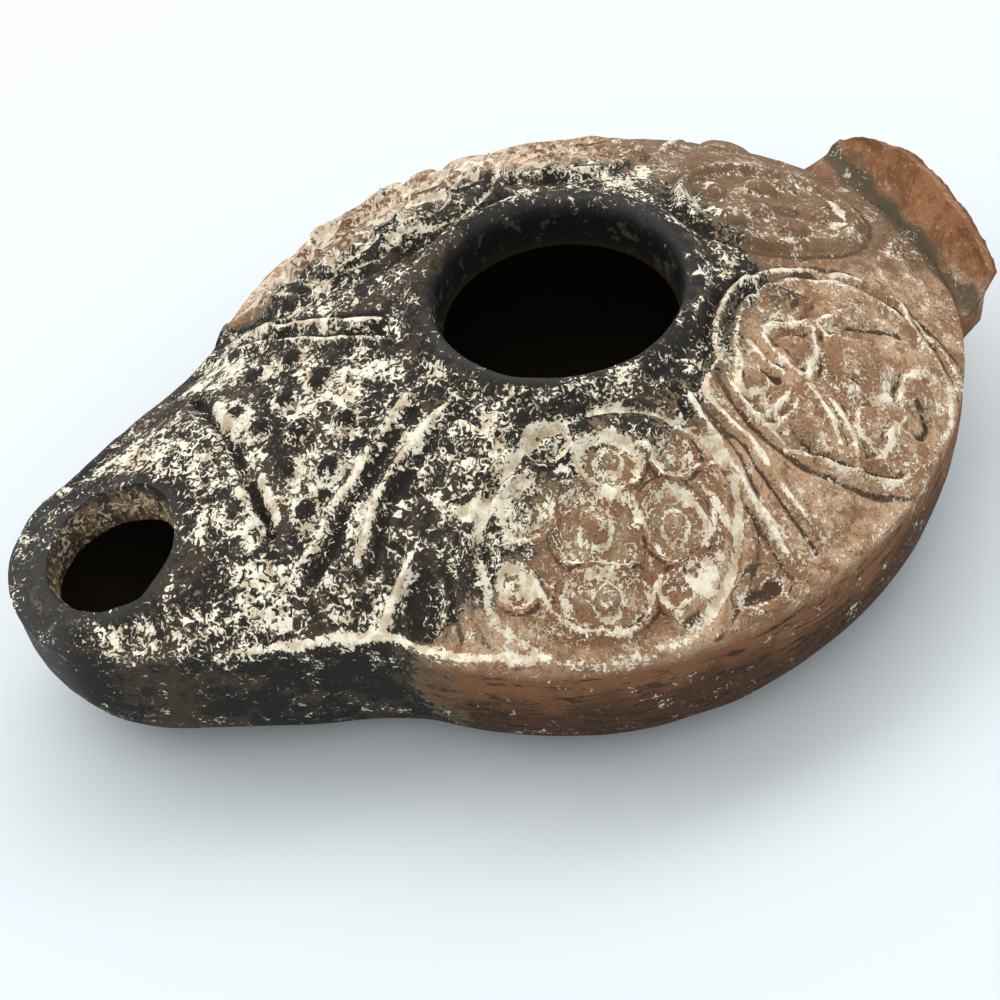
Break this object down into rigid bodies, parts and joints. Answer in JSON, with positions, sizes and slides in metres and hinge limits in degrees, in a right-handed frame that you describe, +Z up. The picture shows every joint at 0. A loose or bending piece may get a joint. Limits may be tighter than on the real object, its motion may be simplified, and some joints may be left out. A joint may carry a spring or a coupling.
{
  "type": "roman oil lamp",
  "caption": "Mould-made terracotta oil lamp: rounded hollow body, ringed filling hole, nozzle with wick hole, moulded medallions on the shoulder and a broken lug handle.",
  "frame": {"origin": "middle of the lamp's length and width, on the surface that it stands on", "axes": "+Z up, -Y along the nozzle, +Y towards the lug handle, +X the side with the better kept relief"},
  "size_m": [0.0692, 0.0982, 0.0283],
  "materials": {
    "terracotta": "matt fired clay, soot black at the nozzle and round the filling hole, with lime-white deposit"
  },
  "bodies": {
    "root": {"lamp_body": "terracotta"}
  },
  "joints": []
}
